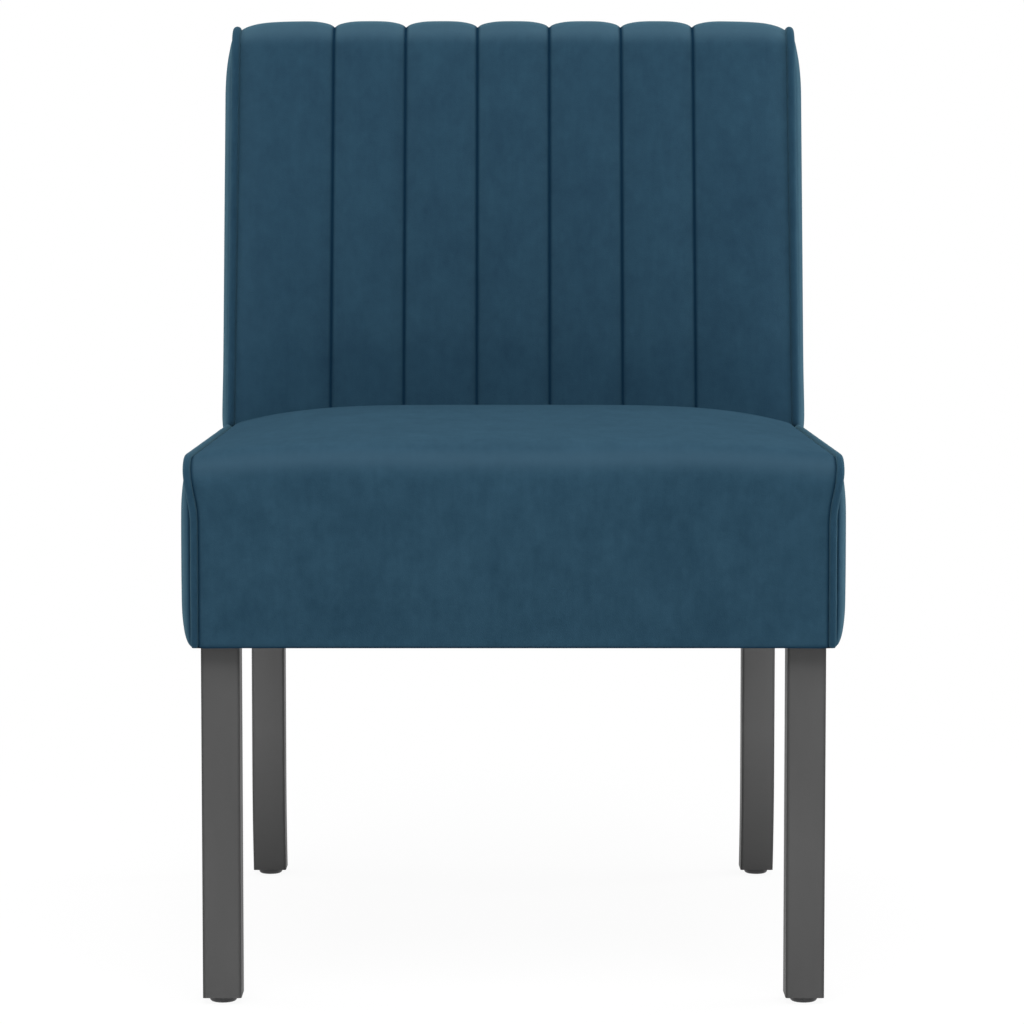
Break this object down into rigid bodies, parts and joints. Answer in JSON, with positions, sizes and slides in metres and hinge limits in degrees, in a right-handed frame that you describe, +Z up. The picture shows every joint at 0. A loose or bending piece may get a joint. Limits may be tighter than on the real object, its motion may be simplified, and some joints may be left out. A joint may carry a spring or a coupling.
{
  "type": "armless slipper chair",
  "caption": "Armless upholstered slipper chair with a channelled reclining back, a box seat with piped side panels, straight front legs and swept rear legs.",
  "frame": {"origin": "on the floor, under the middle of the chair's width and depth", "axes": "+Z up, -Y the way the sitter faces, +X to the right as seen from the front"},
  "size_m": [0.533, 0.6451, 0.7999],
  "materials": {
    "velvet": "short pile, sheen",
    "leg_paint": "satin black paint",
    "glide_plastic": "matte",
    "zinc_steel": "zinc",
    "foam": "open-cell foam",
    "wadding": "loose fibre",
    "elastic_webbing": "woven",
    "black_nonwoven": "non-woven",
    "hardboard": "smooth one side",
    "beech": "fluted",
    "plywood": "sawn"
  },
  "bodies": {
    "root": {"back_bolt_washers": "zinc_steel", "back_bolts": "zinc_steel", "back_cover": "velvet", "back_foam": "foam", "back_lumbar_rail": "plywood", "back_piping_left": "velvet", "back_piping_right": "velvet", "back_post_left": "plywood", "back_post_right": "plywood", "back_rail_screws": "zinc_steel", "back_rear_board": "hardboard", "back_rear_cover": "velvet", "back_side_cover_left": "velvet", "back_side_cover_right": "velvet", "back_side_filler_left": "foam", "back_side_filler_right": "foam", "back_side_padding_left": "wadding", "back_side_padding_right": "wadding", "back_tee_nuts": "zinc_steel", "back_top_rail": "plywood", "back_webbing": "elastic_webbing", "corner_block_front_left": "plywood", "corner_block_front_right": "plywood", "corner_block_rear_left": "plywood", "corner_block_rear_right": "plywood", "corner_block_screws": "zinc_steel", "dust_cover": "black_nonwoven", "foot_glide_front_left": "glide_plastic", "foot_glide_front_right": "glide_plastic", "foot_glide_rear_left": "glide_plastic", "foot_glide_rear_right": "glide_plastic", "front_leg_left": "leg_paint", "front_leg_right": "leg_paint", "leg_hanger_bolts": "zinc_steel", "leg_tee_nuts": "zinc_steel", "rail_dowels": "beech", "rear_leg_left": "leg_paint", "rear_leg_right": "leg_paint", "seat_cover": "velvet", "seat_foam": "foam", "seat_front_rail": "plywood", "seat_front_wadding": "wadding", "seat_piping_left": "velvet", "seat_piping_right": "velvet", "seat_rear_rail": "plywood", "seat_side_cover_left": "velvet", "seat_side_cover_right": "velvet", "seat_side_padding_left": "wadding", "seat_side_padding_right": "wadding", "seat_side_rail_left": "plywood", "seat_side_rail_right": "plywood", "seat_webbing_crosswise": "elastic_webbing", "seat_webbing_lengthwise": "elastic_webbing"}
  },
  "joints": []
}
